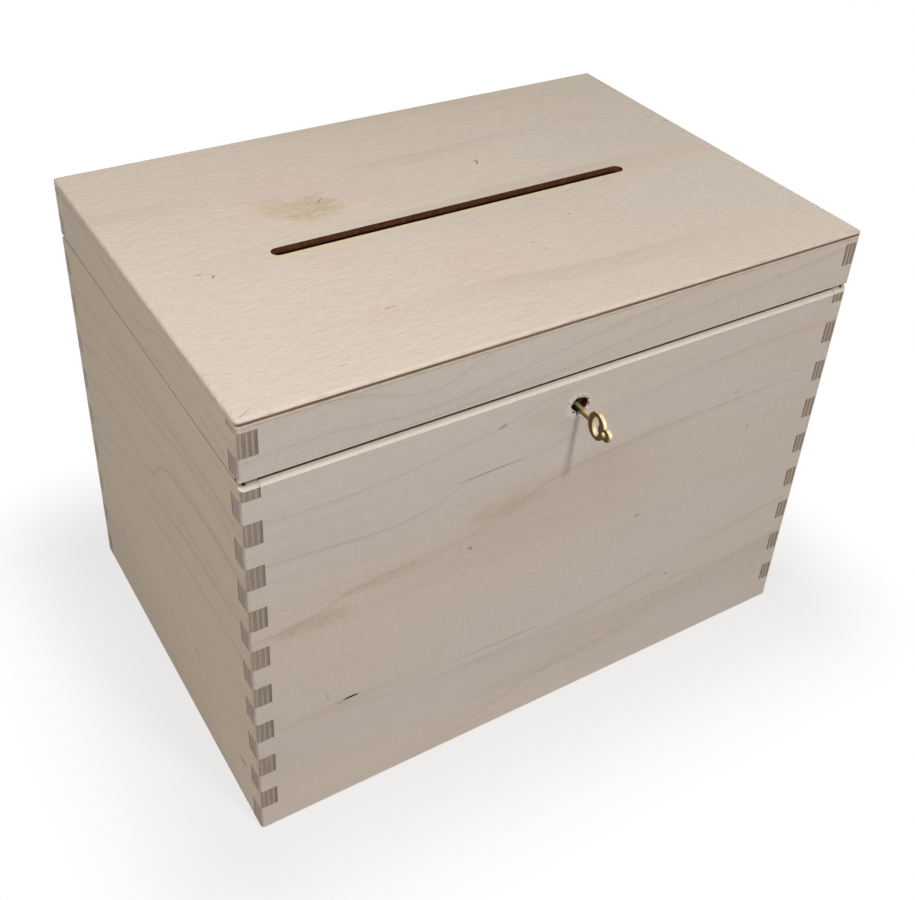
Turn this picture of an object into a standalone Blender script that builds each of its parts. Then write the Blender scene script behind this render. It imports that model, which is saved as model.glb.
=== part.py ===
# Lockable envelope box of birch plywood: glued up whole with finger joints, then sawn
# into body and lid. Two brass butt hinges, a half-mortise box lock and its brass key.
# Origin: centre of the underside. X is the width, Y runs from front to rear, Z is up.

import math

import bmesh
import bpy
from mathutils import Matrix, Vector

mm = 0.001

# Plywood case
box_width = 340.0 * mm
box_depth = 232.0 * mm
body_height = 223.8 * mm
lid_rail_height = 27.5 * mm
wall = 9.0 * mm
top_thickness = 4.0 * mm
bottom_thickness = 4.0 * mm
bottom_ledge = 4.0 * mm
bottom_corner = 6.0 * mm
seam_gap = 0.5 * mm
saw_kerf = 3.2 * mm

# Finger joints: the side walls' fingers show at the front from first_finger upwards
first_finger = 15.7 * mm
finger_height = 12.45 * mm
least_finger = 1.0 * mm

# Worked edges
corner_radius = 2.2 * mm
front_rim_chamfer = 3.6 * mm
side_rim_radius = 2.0 * mm
hinge_chamfer = 3.5 * mm
lid_top_radius = 1.8 * mm
lid_lower_ease = 1.0 * mm
base_ease = 0.6 * mm

# Envelope slot in the lid
slot_length = 207.0 * mm
slot_width = 7.2 * mm
slot_from_front = 111.8 * mm

# Keyhole in the front wall; the key runs at its lower edge, its bit stands above
keyhole_diameter = 9.5 * mm
keyhole_below_rim = 18.0 * mm
key_below_hole = 2.6 * mm

# Butt hinges
hinge_spread = 200.0 * mm
hinge_length = 30.0 * mm
leaf_thickness = 0.9 * mm
knuckle_radius = 1.6 * mm
hinge_pin_radius = 0.8 * mm
middle_knuckle = 9.6 * mm
hinge_screw_spread = 20.0 * mm
hinge_screw_inset = 1.8 * mm
tongue_inset = 0.1 * mm

# Box lock
lock_width = 52.0 * mm
lock_height = 29.2 * mm
lock_plate_thickness = 1.2 * mm
selvedge_depth = 4.5 * mm
cap_margin = 6.0 * mm
cap_depth = 4.4 * mm
cap_wall = 1.0 * mm
cap_top_below_rim = 3.2 * mm
cap_height = 24.0 * mm
bolt_thickness = 1.6 * mm
bolt_bar_height = 5.0 * mm
bolt_travel = 4.0 * mm
bolt_end_gap = 0.4 * mm
bolt_above_key = 4.2 * mm
hook_stem = 2.5 * mm
hook_toe = 2.75 * mm
hook_height = 2.5 * mm
hook_thickness = 1.4 * mm
hook_swing = 0.7 * mm
hook_play = 0.5 * mm
beak_height = 2.5 * mm
bolt_post = 2.25 * mm
talon_notch = 5.0 * mm
guide_pin_radius = 1.0 * mm
guide_inset = 1.0 * mm
lock_screw_inset = 3.0 * mm
lock_screw_rise = 18.0 * mm
lock_screw_drop = 1.0 * mm
spring_thickness = 0.5 * mm
spring_crown = 7.7 * mm
spring_length = 13.7 * mm
spring_fall = 3.9 * mm

# Key
key_shaft_radius = 1.6 * mm
key_bore_radius = 0.85 * mm
drill_pin_radius = 0.7 * mm
drill_pin_length = 4.3 * mm
bit_reach = 5.5 * mm
bit_thickness = 1.6 * mm
shaft_stand_off = 8.0 * mm
bow_thickness = 2.1 * mm
bow_height = 14.8 * mm
bow_length = 12.2 * mm
bow_lean = math.radians(-12.0)
bow_tip_radius = 3.4 * mm
bow_tip_reach = 0.8 * mm
bow_eye_radius = 1.4 * mm
bow_eye_inset = 1.0 * mm
bow_end_rim = 2.1 * mm
bow_side_rim = 3.5 * mm
bow_bump_depth = 0.8 * mm
bow_bump_height = 4.4 * mm
bow_ease = 0.35 * mm
bow_lap = 1.0 * mm
bow_droop = math.radians(7.0)

# Screws: head radius, shank radius, length
hinge_screw = (1.5 * mm, 0.75 * mm, 7.0 * mm)
lock_screw = (2.0 * mm, 1.0 * mm, 5.6 * mm)
link_screw = (2.0 * mm, 1.0 * mm, 9.0 * mm)
screw_rim = 0.2 * mm
screw_slot_width = 0.55 * mm
screw_slot_depth = 0.45 * mm

# Clearances: glued faces, running fits, and how far a cutter runs past a face
joint_gap = 0.2 * mm
running_gap = 0.3 * mm
pin_gap = 0.1 * mm
overcut = 1.0 * mm

# Places that follow from the sizes above
half_width = box_width / 2
half_depth = box_depth / 2
front = -half_depth
inner_front = front + wall
inner_rear = half_depth - wall
seam_height = body_height + seam_gap / 2
lid_bottom = body_height + seam_gap
lid_rail_top = lid_bottom + lid_rail_height
lid_top = lid_rail_top + top_thickness
hinge_y = half_depth - hinge_chamfer
keyhole_height = body_height - keyhole_below_rim
key_height = keyhole_height - key_below_hole
lock_plate_y = inner_front - lock_plate_thickness
cap_front = lock_plate_y - cap_depth
bolt_rear = lock_plate_y - running_gap
bolt_front = bolt_rear - bolt_thickness
bolt_low = key_height + bolt_above_key
bolt_top = bolt_low + bolt_bar_height
hook_low = bolt_top + hook_play
hook_rear = bolt_rear - pin_gap
hook_front = hook_rear - hook_thickness
beak_low = hook_low + hook_height + hook_play
cap_width = lock_width - 2 * cap_margin
bolt_start = -cap_width / 2 + cap_wall + bolt_end_gap
bolt_stop = cap_width / 2 - cap_wall - bolt_end_gap - bolt_travel
hook_reach = hook_stem / 2 + hook_toe + running_gap + bolt_travel
left_hook = bolt_start + bolt_post + hook_reach
right_hook = bolt_stop - bolt_post - hook_stem / 2
guide_clear = guide_pin_radius + pin_gap
left_guide = bolt_start + guide_inset + bolt_travel + guide_clear
right_guide = bolt_stop - guide_inset - guide_clear

birch = (0.72, 0.62, 0.50)
brass = (0.72, 0.52, 0.22)
steel = (0.55, 0.55, 0.56)


def material_for(obj, colour, roughness, metallic):
    mat = bpy.data.materials.new(obj.name + "_finish")
    mat.use_nodes = True
    shader = mat.node_tree.nodes["Principled BSDF"]
    shader.inputs["Base Color"].default_value = (*colour, 1.0)
    shader.inputs["Roughness"].default_value = roughness
    shader.inputs["Metallic"].default_value = metallic
    mat.diffuse_color = (*colour, 1.0)
    obj.data.materials.append(mat)


def wooden(obj):
    material_for(obj, birch, 0.55, 0.0)
    return obj


def brazen(obj):
    material_for(obj, brass, 0.3, 1.0)
    return obj


def steely(obj):
    material_for(obj, steel, 0.4, 1.0)
    return obj


def to_object(name, bm, smooth=False):
    bmesh.ops.recalc_face_normals(bm, faces=bm.faces)
    mesh = bpy.data.meshes.new(name)
    bm.to_mesh(mesh)
    bm.free()
    if smooth:
        mesh.shade_smooth()
        mesh.set_sharp_from_angle(angle=math.radians(40))
    obj = bpy.data.objects.new(name, mesh)
    bpy.context.collection.objects.link(obj)
    return obj


def as_tool(obj):
    obj.hide_render = True
    obj.display_type = "WIRE"
    return obj


def combine(obj, tool, operation):
    step = obj.modifiers.new(operation.lower() + "_" + tool.name, "BOOLEAN")
    step.operation = operation
    step.solver = "EXACT"
    step.object = as_tool(tool)


def cut(obj, *tools):
    for tool in tools:
        combine(obj, tool, "DIFFERENCE")
    return obj


def hang_on(parent, *objects):
    for obj in objects:
        obj.parent = parent
        obj.location = obj.location - parent.location


def add_block(bm, low, high):
    size = Vector(high) - Vector(low)
    centre = (Vector(high) + Vector(low)) / 2
    grow = Matrix.Translation(centre) @ Matrix.Diagonal((*size, 1.0))
    bmesh.ops.create_cube(bm, size=1.0, matrix=grow)


def blocks(name, corners):
    bm = bmesh.new()
    for low, high in corners:
        add_block(bm, low, high)
    return to_object(name, bm)


def board(name, low, high):
    centre = (Vector(low) + Vector(high)) / 2
    obj = blocks(name, [(Vector(low) - centre, Vector(high) - centre)])
    obj.location = centre
    return wooden(obj)


def prism(name, outline, axis, low, high, smooth=False):
    # The outline lies in the two axes other than the given one, in their order
    turn = {
        "X": Matrix(((0, 0, 1), (1, 0, 0), (0, 1, 0))),
        "Y": Matrix(((1, 0, 0), (0, 0, 1), (0, 1, 0))),
        "Z": Matrix.Identity(3),
    }[axis]
    bm = bmesh.new()
    verts = [bm.verts.new(turn @ Vector((a, b, low))) for a, b in outline]
    face = bm.faces.new(verts)
    grown = bmesh.ops.extrude_face_region(bm, geom=[face])
    moved = [v for v in grown["geom"] if isinstance(v, bmesh.types.BMVert)]
    bmesh.ops.translate(bm, verts=moved, vec=turn @ Vector((0, 0, high - low)))
    return to_object(name, bm, smooth)


def arc(centre, radii, start, end, steps):
    points = []
    for i in range(steps + 1):
        angle = math.radians(start + (end - start) * i / steps)
        points.append((centre[0] + radii[0] * math.cos(angle), centre[1] + radii[1] * math.sin(angle)))
    return points


def ellipse(centre, radii, steps):
    return arc(centre, radii, 0, 360, steps)[:-1]


def rounded_rectangle(half_x, half_y, radius, steps):
    corners = [(1, 1, 0), (-1, 1, 90), (-1, -1, 180), (1, -1, 270)]
    points = []
    for side_x, side_y, start in corners:
        centre = (side_x * (half_x - radius), side_y * (half_y - radius))
        points += arc(centre, (radius, radius), start, start + 90, steps)
    return points


def rods(name, places, axis, radius, low, high, sides=16):
    bm = bmesh.new()
    turn = {
        "X": Matrix.Rotation(math.radians(90), 4, "Y"),
        "Y": Matrix.Rotation(math.radians(-90), 4, "X"),
        "Z": Matrix.Identity(4),
    }[axis]
    for place in places:
        middle = turn.to_3x3() @ Vector((0, 0, (low + high) / 2))
        at = Matrix.Translation(Vector(place) + middle) @ turn
        bmesh.ops.create_cone(
            bm, cap_ends=True, segments=sides, radius1=radius, radius2=radius,
            depth=high - low, matrix=at,
        )
    return to_object(name, bm, smooth=True)


def plane_away(bm, point, normal):
    # Planes a convex solid down to the side of the plane that the normal points away from
    whole = bm.verts[:] + bm.edges[:] + bm.faces[:]
    bmesh.ops.bisect_plane(
        bm, geom=whole, dist=1e-7, plane_co=point, plane_no=normal, clear_outer=True,
    )
    rim = [edge for edge in bm.edges if edge.is_boundary]
    if rim:
        bmesh.ops.contextual_create(bm, geom=rim)


def ease_edge(bm, edge_point, outward, upward, radius, cuts):
    # Planes tangent to an arc of this radius round off the edge through the point
    centre = Vector(edge_point) - radius * (Vector(outward) + Vector(upward))
    for i in range(1, cuts + 1):
        angle = math.radians(90) * i / (cuts + 1)
        normal = math.cos(angle) * Vector(outward) + math.sin(angle) * Vector(upward)
        plane_away(bm, centre + radius * normal, normal)


def chamfer_edge(bm, edge_point, outward, upward, width):
    normal = (Vector(outward) + Vector(upward)).normalized()
    plane_away(bm, Vector(edge_point) - width * Vector(outward), normal)


def case_outline(name, low, high, eases, chamfers):
    # The outer surface of a storey of the case, which its boards are trimmed to
    outline = rounded_rectangle(half_width, half_depth, corner_radius, 4)
    bm = bmesh.new()
    verts = [bm.verts.new((x, y, low)) for x, y in outline]
    face = bm.faces.new(verts)
    grown = bmesh.ops.extrude_face_region(bm, geom=[face])
    moved = [v for v in grown["geom"] if isinstance(v, bmesh.types.BMVert)]
    bmesh.ops.translate(bm, verts=moved, vec=(0, 0, high - low))
    sides = {
        "front": ((0, front), (0, -1, 0)),
        "rear": ((0, half_depth), (0, 1, 0)),
        "left": ((-half_width, 0), (-1, 0, 0)),
        "right": ((half_width, 0), (1, 0, 0)),
    }
    ends = {"low": (low, (0, 0, -1)), "high": (high, (0, 0, 1))}
    for side, end, radius, cuts in eases:
        place, outward = sides[side]
        height, upward = ends[end]
        ease_edge(bm, (*place, height), outward, upward, radius, cuts)
    for side, end, width in chamfers:
        place, outward = sides[side]
        height, upward = ends[end]
        chamfer_edge(bm, (*place, height), outward, upward, width)
    return to_object(name, bm)


def side_finger_rows(bottom, top, shift):
    # Heights where the side walls' fingers reach through to the front and rear faces
    rows = []
    low = first_finger - shift
    while low < top:
        high = low + finger_height
        if min(high, top) - max(low, bottom) > least_finger:
            rows.append((low, high))
        low = high + finger_height
    return rows


def rows_between(bottom, top, rows):
    # The heights left over for the front and rear walls' fingers
    bounds = [bottom - overcut] + [height for row in rows for height in row] + [top + overcut]
    pairs = zip(bounds[0::2], bounds[1::2])
    return [(low, high) for low, high in pairs if high - low > least_finger]


def end_sockets(name, rows):
    # Openings at both ends of the front and rear walls, for the side walls' fingers
    corners = []
    for low, high in rows:
        for side in (-1, 1):
            outer = side * (half_width + overcut)
            inner = side * (half_width - wall - joint_gap)
            corners.append((
                (min(outer, inner), front - overcut, low - joint_gap / 2),
                (max(outer, inner), half_depth + overcut, high + joint_gap / 2),
            ))
    return blocks(name, corners)


def side_sockets(name, rows):
    # Openings at both ends of the side walls, for the front and rear walls' fingers
    corners = []
    for low, high in rows:
        for side in (-1, 1):
            outer = side * (half_depth + overcut)
            inner = side * (half_depth - wall - joint_gap)
            corners.append((
                (-half_width - overcut, min(outer, inner), low - joint_gap / 2),
                (half_width + overcut, max(outer, inner), high + joint_gap / 2),
            ))
    return blocks(name, corners)


def storey(names, low, high, outline, rows):
    # Four boards between two heights, finger-jointed and trimmed to the case outline
    base = low - overcut
    across = half_width + overcut
    along = half_depth + overcut
    front_wall = board(names[0], (-across, -along, base), (across, inner_front, high))
    rear_wall = board(names[1], (-across, inner_rear, base), (across, along, high))
    left_wall = board(names[2], (-across, -along, base), (-half_width + wall, along, high))
    right_wall = board(names[3], (half_width - wall, -along, base), (across, along, high))
    ends = end_sockets(names[0] + "_sockets", rows)
    sides = side_sockets(names[2] + "_sockets", rows_between(low, high, rows))
    for piece, sockets in ((front_wall, ends), (rear_wall, ends), (left_wall, sides), (right_wall, sides)):
        combine(piece, outline, "INTERSECT")
        cut(piece, sockets)
    return front_wall, rear_wall, left_wall, right_wall


def body_boards():
    outline = case_outline(
        "body_outline", 0.0, body_height,
        [("left", "high", side_rim_radius, 3), ("right", "high", side_rim_radius, 3)]
        + [(side, "low", base_ease, 1) for side in ("front", "rear", "left", "right")],
        [("front", "high", front_rim_chamfer), ("rear", "high", hinge_chamfer)],
    )
    rows = side_finger_rows(0.0, body_height, 0.0)
    names = ("front_panel", "back_panel", "left_panel", "right_panel")
    walls = storey(names, 0.0, body_height + overcut, outline, rows)
    seat = prism(
        "bottom_seat",
        rounded_rectangle(
            half_width - wall + bottom_ledge, half_depth - wall + bottom_ledge, bottom_corner, 4,
        ),
        "Z", -overcut, bottom_thickness + joint_gap,
    )
    for piece in walls:
        cut(piece, seat)
    return walls


def bottom_board():
    outline = rounded_rectangle(
        half_width - wall + bottom_ledge - joint_gap, half_depth - wall + bottom_ledge - joint_gap,
        bottom_corner - joint_gap, 4,
    )
    return wooden(prism("bottom_panel", outline, "Z", 0.0, bottom_thickness))


def lid_outline():
    sides = ("front", "rear", "left", "right")
    return case_outline(
        "lid_outline", lid_bottom, lid_top,
        [(side, "high", lid_top_radius, 3) for side in sides],
        [("rear", "low", hinge_chamfer), ("front", "low", lid_lower_ease)]
        + [(side, "low", lid_lower_ease / 2) for side in ("left", "right")],
    )


def lid_boards(outline):
    rows = side_finger_rows(lid_bottom, lid_rail_top, saw_kerf - seam_gap)
    names = ("lid_front_rail", "lid_back_rail", "lid_left_rail", "lid_right_rail")
    return storey(names, lid_bottom, lid_rail_top - joint_gap, outline, rows)


def lid_top_board(outline):
    across = half_width + overcut
    along = half_depth + overcut
    panel = board("lid_top_panel", (-across, -along, lid_rail_top), (across, along, lid_top + overcut))
    combine(panel, outline, "INTERSECT")
    end = slot_length / 2 - slot_width / 2
    middle = front + slot_from_front
    round_end = (slot_width / 2, slot_width / 2)
    stadium = arc((end, middle), round_end, -90, 90, 10) + arc((-end, middle), round_end, 90, 270, 10)
    slot = prism("envelope_slot", stadium, "Z", lid_rail_top - overcut, lid_top + overcut)
    return cut(panel, slot)


def screw(name, size, place, direction):
    # Countersunk slotted screw: the origin is the middle of its flat head
    head, shank, length = size
    cone_depth = head - shank + screw_rim
    profile = [
        (0.0, 0.0), (head, 0.0), (head, -screw_rim), (shank, -cone_depth),
        (shank, -length + shank), (0.0, -length),
    ]
    bm = bmesh.new()
    verts = [bm.verts.new((radius, 0.0, height)) for radius, height in profile]
    for first, second in zip(verts, verts[1:]):
        bm.edges.new((first, second))
    bmesh.ops.spin(
        bm, geom=bm.verts[:] + bm.edges[:], axis=(0, 0, 1), cent=(0, 0, 0),
        angle=math.radians(360), steps=12, use_merge=True,
    )
    bmesh.ops.remove_doubles(bm, verts=bm.verts, dist=1e-6)
    obj = to_object(name, bm, smooth=True)
    across = screw_slot_width / 2
    groove = blocks(name + "_groove", [(
        (-head - overcut, -across, -screw_slot_depth), (head + overcut, across, overcut),
    )])
    cut(obj, groove)
    turn = Vector((0, 0, 1)).rotation_difference(Vector(direction))
    for piece in (obj, groove):
        piece.rotation_mode = "QUATERNION"
        piece.rotation_quaternion = turn
        piece.location = place
    return obj, groove


def countersink(name, size, places, direction, depth):
    # Hole for screws through a plate: a straight bore and a cone for the head
    head, shank, length = size
    bm = bmesh.new()
    turn = Vector((0, 0, 1)).rotation_difference(Vector(direction)).to_matrix().to_4x4()
    cone_depth = head - shank + screw_rim
    profile = [
        (0.0, overcut), (head + pin_gap, overcut), (head + pin_gap, -screw_rim),
        (shank + pin_gap, -cone_depth), (shank + pin_gap, -depth - overcut), (0.0, -depth - overcut),
    ]
    for place in places:
        ring = bmesh.new()
        verts = [ring.verts.new((radius, 0.0, height)) for radius, height in profile]
        for first, second in zip(verts, verts[1:]):
            ring.edges.new((first, second))
        bmesh.ops.spin(
            ring, geom=ring.verts[:] + ring.edges[:], axis=(0, 0, 1), cent=(0, 0, 0),
            angle=math.radians(360), steps=12, use_merge=True,
        )
        bmesh.ops.remove_doubles(ring, verts=ring.verts, dist=1e-6)
        bmesh.ops.transform(ring, matrix=Matrix.Translation(Vector(place)) @ turn, verts=ring.verts)
        piece = bpy.data.meshes.new(name + "_part")
        ring.to_mesh(piece)
        ring.free()
        bm.from_mesh(piece)
        bpy.data.meshes.remove(piece)
    return to_object(name, bm)


def pilot_holes(name, size, places, direction):
    head, shank, length = size
    radius = shank + joint_gap
    bm = bmesh.new()
    turn = Vector((0, 0, 1)).rotation_difference(Vector(direction)).to_matrix().to_4x4()
    for place in places:
        middle = Matrix.Translation(Vector((0, 0, overcut / 2 - (length + joint_gap) / 2)))
        bmesh.ops.create_cone(
            bm, cap_ends=True, segments=12, radius1=radius, radius2=radius,
            depth=length + joint_gap + overcut, matrix=Matrix.Translation(Vector(place)) @ turn @ middle,
        )
    return to_object(name, bm)


def hinge_screw_places(height):
    places = []
    for side in (-1, 1):
        for end in (-1, 1):
            x = side * hinge_spread / 2 + end * hinge_screw_spread / 2
            places.append((x, inner_rear + hinge_screw_inset, height))
    return places


def hinge_leaf(name, centre_x, low, high, knuckles):
    # A flat leaf with a tongue to each of its knuckles and room for the other leaf's
    notch = hinge_y - knuckle_radius - running_gap
    end = hinge_length / 2 - tongue_inset
    outline = [(centre_x - end, inner_rear), (centre_x + end, inner_rear), (centre_x + end, notch)]
    for start, stop in reversed(knuckles):
        left = centre_x + start + tongue_inset
        right = centre_x + stop - tongue_inset
        outline += [(right, notch), (right, hinge_y), (left, hinge_y), (left, notch)]
    outline.append((centre_x - end, notch))
    outline = [point for i, point in enumerate(outline) if point != outline[i - 1]]
    leaf = prism(name, outline, "Z", low, high)
    for i, (start, stop) in enumerate(knuckles):
        barrel = rods(
            f"{name}_barrel_{i}", [(centre_x, hinge_y, seam_height)], "X", knuckle_radius, start, stop,
        )
        combine(leaf, barrel, "UNION")
    end = hinge_length / 2
    bore = rods(
        name + "_bore", [(centre_x, hinge_y, seam_height)], "X",
        hinge_pin_radius + pin_gap, -end - overcut, end + overcut,
    )
    return cut(leaf, bore)


def hinges(body_side, lid_side, lid_axis):
    end = hinge_length / 2
    split = middle_knuckle / 2
    gap = running_gap
    outer = [(-end, -split - gap), (split + gap, end)]
    middle = [(-split, split)]
    body_top = body_height
    screw_y = inner_rear + hinge_screw_inset
    for side, label in ((-1, "left"), (1, "right")):
        x = side * hinge_spread / 2
        body_leaf = hinge_leaf(
            f"{label}_hinge_body_leaf", x, body_top - leaf_thickness, body_top, outer,
        )
        lid_leaf = hinge_leaf(
            f"{label}_hinge_lid_leaf", x, lid_bottom, lid_bottom + leaf_thickness, middle,
        )
        spots = [x - hinge_screw_spread / 2, x + hinge_screw_spread / 2]
        below = [(spot, screw_y, body_top) for spot in spots]
        above = [(spot, screw_y, lid_bottom) for spot in spots]
        depth = leaf_thickness
        cut(body_leaf, countersink(f"{label}_body_leaf_holes", hinge_screw, below, (0, 0, 1), depth))
        cut(lid_leaf, countersink(f"{label}_lid_leaf_holes", hinge_screw, above, (0, 0, -1), depth))
        pin = rods(f"{label}_hinge_pin", [(x, hinge_y, seam_height)], "X", hinge_pin_radius, -end, end)
        for piece in (body_leaf, lid_leaf, pin):
            brazen(piece)
        hang_on(lid_axis, lid_leaf)
        for i, (low_place, high_place) in enumerate(zip(below, above), start=1):
            brazen(screw(f"{label}_hinge_body_screw_{i}", hinge_screw, low_place, (0, 0, 1))[0])
            upper, groove = screw(f"{label}_hinge_lid_screw_{i}", hinge_screw, high_place, (0, 0, -1))
            brazen(upper)
            hang_on(lid_axis, upper, groove)
    # Seats in both rims: the leaves' mortises, the knuckles' groove and the screw holes
    mortises = []
    for side in (-1, 1):
        x = side * hinge_spread / 2
        mortises.append((
            (x - end - joint_gap, inner_rear - overcut, body_height - leaf_thickness - joint_gap),
            (x + end + joint_gap, hinge_y + overcut, lid_bottom + leaf_thickness + joint_gap),
        ))
    seats = blocks("hinge_mortises", mortises)
    centres = [(side * hinge_spread / 2, hinge_y, seam_height) for side in (-1, 1)]
    grooves = rods(
        "knuckle_grooves", centres, "X", knuckle_radius + running_gap,
        -end - joint_gap, end + joint_gap,
    )
    holes = pilot_holes("hinge_body_pilots", hinge_screw, hinge_screw_places(body_height), (0, 0, 1))
    lid_holes = pilot_holes("hinge_lid_pilots", hinge_screw, hinge_screw_places(lid_bottom), (0, 0, -1))
    cut(body_side, seats, grooves, holes)
    cut(lid_side, seats, grooves, lid_holes)


def selvedge_slots():
    corners = []
    for centre in (right_hook, left_hook):
        corners.append((
            (centre - hook_stem / 2 - hook_toe - running_gap, hook_front - hook_swing,
             body_height - lock_plate_thickness - overcut),
            (centre + hook_stem / 2 + running_gap, hook_rear + running_gap, body_height + overcut),
        ))
    return blocks("selvedge_slots", corners)


def lock_screw_places():
    middle = body_height - lock_height / 2 - lock_screw_drop
    places = []
    for side in (-1, 1):
        for end in (-1, 1):
            places.append((
                side * (lock_width / 2 - lock_screw_inset), inner_front,
                middle + end * lock_screw_rise / 2,
            ))
    return places


def lock_plate():
    # Back plate on the wall's inner face, bent over into the selvedge let into the rim
    low = body_height - lock_height
    selvedge_front = inner_front - selvedge_depth
    bend = body_height - lock_plate_thickness
    outline = [
        (inner_front, low), (inner_front, body_height), (selvedge_front, body_height),
        (selvedge_front, bend), (lock_plate_y, bend), (lock_plate_y, low),
    ]
    plate = prism("lock_plate", outline, "X", -lock_width / 2, lock_width / 2)
    pin_height = bolt_low + bolt_bar_height / 2
    pins = [(x, 0, pin_height) for x in (left_guide, right_guide)]
    guides = rods(
        "guide_pins", pins, "Y", guide_pin_radius,
        cap_front + cap_wall + joint_gap, lock_plate_y + lock_plate_thickness / 2,
    )
    drill_pin = rods(
        "drill_pin", [(0, 0, key_height)], "Y", drill_pin_radius,
        lock_plate_y - drill_pin_length, lock_plate_y + lock_plate_thickness / 2,
    )
    combine(plate, guides, "UNION")
    combine(plate, drill_pin, "UNION")
    holes = countersink(
        "lock_plate_holes", lock_screw, lock_screw_places(), (0, 1, 0), lock_plate_thickness,
    )
    return steely(cut(plate, selvedge_slots(), holes))


def lock_cap():
    # Tray over the works, open at the top where the hooks come down
    top = body_height - cap_top_below_rim
    low = top - cap_height
    rear = lock_plate_y - joint_gap
    cap = blocks("lock_cap", [((-cap_width / 2, cap_front, low), (cap_width / 2, rear, top))])
    hollow = blocks("lock_cap_hollow", [(
        (-cap_width / 2 + cap_wall, cap_front + cap_wall, low + cap_wall),
        (cap_width / 2 - cap_wall, rear + overcut, top + overcut),
    )])
    shaft_hole = rods(
        "cap_shaft_hole", [(0, 0, key_height)], "Y", key_shaft_radius + running_gap,
        cap_front - overcut, cap_front + cap_wall + overcut, sides=24,
    )
    slot_half = bit_thickness / 2 + running_gap
    slot_top = key_height + bit_reach + running_gap
    bit_hole = blocks("cap_bit_hole", [(
        (-slot_half, cap_front - overcut, key_height),
        (slot_half, cap_front + cap_wall + overcut, slot_top),
    )])
    return steely(cut(cap, hollow, shaft_hole, bit_hole))


def lock_bolt():
    # Sliding bar with a beak for each hook and a notch that the key's bit turns in
    beak_top = beak_low + beak_height
    notch = talon_notch / 2
    notch_top = key_height + bit_reach + hook_play
    outline = [(bolt_start, bolt_low), (-notch, bolt_low), (-notch, notch_top), (notch, notch_top)]
    outline += [(notch, bolt_low), (bolt_stop, bolt_low), (bolt_stop, bolt_top)]
    for centre in (right_hook, left_hook):
        post = centre - hook_reach
        tip = post + hook_toe
        outline += [(post, bolt_top), (post, beak_low), (tip, beak_low), (tip, beak_top)]
        outline += [(post - bolt_post, beak_top)]
        if centre == right_hook:
            outline += [(post - bolt_post, bolt_top)]
    bolt = prism("lock_bolt", outline, "Y", bolt_front, bolt_rear)
    middle = bolt_low + bolt_bar_height / 2
    ends = (guide_clear, guide_clear)
    for i, x in enumerate((left_guide, right_guide)):
        track = arc((x, middle), ends, -90, 90, 8) + arc((x - bolt_travel, middle), ends, 90, 270, 8)
        cut(bolt, prism(f"bolt_track_{i}", track, "Y", bolt_front - overcut, bolt_rear + overcut))
    return steely(bolt)


def bolt_spring():
    # Bowed flat spring whose crown bears on the underside of the bolt's bar
    left = -cap_width / 2 + cap_wall + running_gap
    crown = left + spring_crown
    bend = spring_fall / spring_crown ** 2
    stations = [left + spring_length * i / 12 for i in range(13)]
    upper = [(x, bolt_low - running_gap - bend * (x - crown) ** 2) for x in stations]
    lower = [(x, z - spring_thickness) for x, z in upper]
    strip = prism("bolt_spring", upper + lower[::-1], "Y", bolt_front, bolt_rear, smooth=True)
    return steely(strip)


def link_plate():
    # Plate under the lid's front rail with two hooks that drop through the selvedge
    top = lid_bottom + lock_plate_thickness
    selvedge_front = inner_front - selvedge_depth
    plate = blocks("link_plate", [(
        (-lock_width / 2, selvedge_front, lid_bottom), (lock_width / 2, inner_front, top),
    )])
    for i, centre in enumerate((right_hook, left_hook)):
        right = centre + hook_stem / 2
        left = right - hook_stem
        toe = left - hook_toe
        toe_top = hook_low + hook_height
        inside = top - lock_plate_thickness / 2
        outline = [
            (right, hook_low), (right, inside), (left, inside),
            (left, toe_top), (toe, toe_top), (toe, hook_low),
        ]
        hook = prism(f"link_hook_{i}", outline, "Y", hook_front, hook_rear)
        combine(plate, hook, "UNION")
    holes = countersink(
        "link_plate_holes", link_screw, link_screw_places(), (0, 0, -1), lock_plate_thickness,
    )
    return brazen(cut(plate, holes))


def link_screw_places():
    y = inner_front - selvedge_depth / 2
    return [(side * (lock_width / 2 - lock_screw_inset), y, lid_bottom) for side in (-1, 1)]


def lock_seats(front_wall, lid_front):
    # Mortises for the lock in the wall, and for the selvedge and link plate in both rims
    rim_front = inner_front - selvedge_depth - joint_gap
    rim_recess = blocks("rim_plate_recess", [(
        (-lock_width / 2 - joint_gap, rim_front, body_height - lock_plate_thickness - joint_gap),
        (lock_width / 2 + joint_gap, inner_front + overcut, lid_bottom + lock_plate_thickness + joint_gap),
    )])
    cap_top = body_height - cap_top_below_rim + joint_gap
    cap_low = cap_top - cap_height - 2 * joint_gap
    deep = cap_front - joint_gap
    above = body_height - lock_plate_thickness / 2
    outline = [
        (deep, cap_low), (inner_front + overcut, cap_low), (inner_front + overcut, above),
        (rim_front, above), (rim_front, cap_top), (deep, cap_top),
    ]
    half_cap = cap_width / 2 + joint_gap
    case_pocket = prism("lock_case_pocket", outline, "X", -half_cap, half_cap)
    plate_recess = blocks("lock_plate_recess", [(
        (-lock_width / 2 - joint_gap, lock_plate_y - joint_gap, body_height - lock_height - joint_gap),
        (lock_width / 2 + joint_gap, inner_front + overcut, above),
    )])
    keyhole = rods(
        "keyhole", [(0, 0, keyhole_height)], "Y", keyhole_diameter / 2,
        front - overcut, cap_front + overcut, sides=32,
    )
    pilots = pilot_holes("lock_pilots", lock_screw, lock_screw_places(), (0, 1, 0))
    link_pilots = pilot_holes("link_pilots", link_screw, link_screw_places(), (0, 0, -1))
    cut(front_wall, rim_recess, case_pocket, plate_recess, keyhole, pilots)
    cut(lid_front, rim_recess, link_pilots)


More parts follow.
